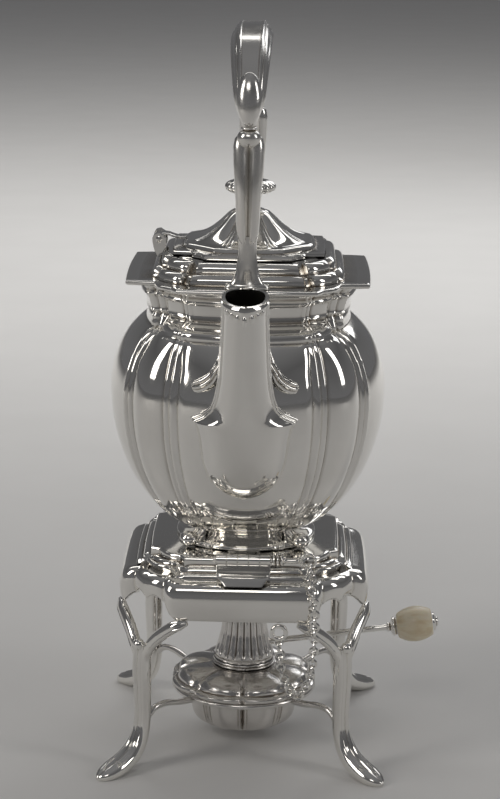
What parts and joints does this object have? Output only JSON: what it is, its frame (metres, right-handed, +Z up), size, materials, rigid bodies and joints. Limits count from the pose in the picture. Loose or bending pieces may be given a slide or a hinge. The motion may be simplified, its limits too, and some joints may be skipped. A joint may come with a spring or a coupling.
{
  "type": "spirit kettle on stand",
  "caption": "Silver spirit kettle with fixed overhead handle and hinged lid, tilting on a footed stand that holds a lobed spirit burner with a wick lever.",
  "frame": {"origin": "on the surface that the feet stand on, under the middle of the whole box", "axes": "+Z up, -Y the way the spout points, +X the way the burner's lever points"},
  "size_m": [0.1554, 0.1642, 0.3326],
  "materials": {
    "silver": "polished, lightly worn silver plate",
    "ivory": "satin ivory-coloured turned knob",
    "cotton": "plaited cotton wick"
  },
  "bodies": {
    "stand": {"stand_frame": "silver", "leg_front_left": "silver", "leg_front_right": "silver", "leg_rear_left": "silver", "leg_rear_right": "silver", "burner_ring": "silver", "ring_arm_front_left": "silver", "ring_arm_front_right": "silver", "ring_arm_rear_left": "silver", "ring_arm_rear_right": "silver", "stand_hinge_leaf": "silver", "chain_eye": "silver", "safety_chain": "silver"},
    "tilt_pin": {"tilt_pin": "silver", "pin_ring": "silver"},
    "kettle": {"kettle_body": "silver", "kettle_shoulder": "silver", "kettle_neck": "silver", "kettle_foot": "silver", "kettle_collar": "silver", "spout": "silver", "handle_socket_front": "silver", "handle_socket_rear": "silver", "handle_shaft_front": "silver", "handle_shaft_rear": "silver", "handle_bead_front": "silver", "handle_bead_rear": "silver", "handle_grip": "silver", "kettle_hinge_leaf": "silver", "lid_hinge_lug": "silver", "lid_hinge_pin": "silver"},
    "lid": {"lid": "silver", "lid_hinge_leaf": "silver", "finial_stem": "silver", "finial": "silver", "finial_nut": "silver"},
    "burner": {"burner_bowl": "silver", "burner_top": "silver", "burner_collar": "silver", "wick_tube": "silver"},
    "regulator": {"gallery": "silver", "lever_rod": "silver", "lever_ferrule": "silver", "lever_knob": "ivory", "knob_cap": "silver"},
    "wick": {"wick_carrier": "silver", "wick": "cotton"}
  },
  "joints": [
    {"name": "kettle_tilt", "type": "hinge", "parent": "stand", "child": "kettle", "pos_m": [-0.01317, -0.03215, 0.09995], "axis": [1, 0, 0], "range_deg": [0, 45]},
    {"name": "lid_open", "type": "hinge", "parent": "kettle", "child": "lid", "pos_m": [-0.05367, 0.01515, 0.2366], "axis": [0, -1, 0], "range_deg": [0, 75]},
    {"name": "pin_pull", "type": "slide", "parent": "stand", "child": "tilt_pin", "axis": [1, 0, 0], "range_m": [0, 0.04], "deforming": ["safety_chain"]},
    {"name": "burner_lift", "type": "slide", "parent": "stand", "child": "burner", "axis": [0, 0, 1], "range_m": [0, 0.02]},
    {"name": "lever_turn", "type": "hinge", "parent": "burner", "child": "regulator", "pos_m": [-0.01317, 0.01515, 0.0379], "axis": [0, 0, 1], "range_deg": [-20, 20]},
    {"name": "wick_raise", "type": "slide", "parent": "burner", "child": "wick", "axis": [0, 0, 1], "range_m": [-0.0021, 0.0021]}
  ],
  "couplings": [
    {"joint": "wick_raise", "follows": "lever_turn", "m_per_rad": 0.00573}
  ]
}
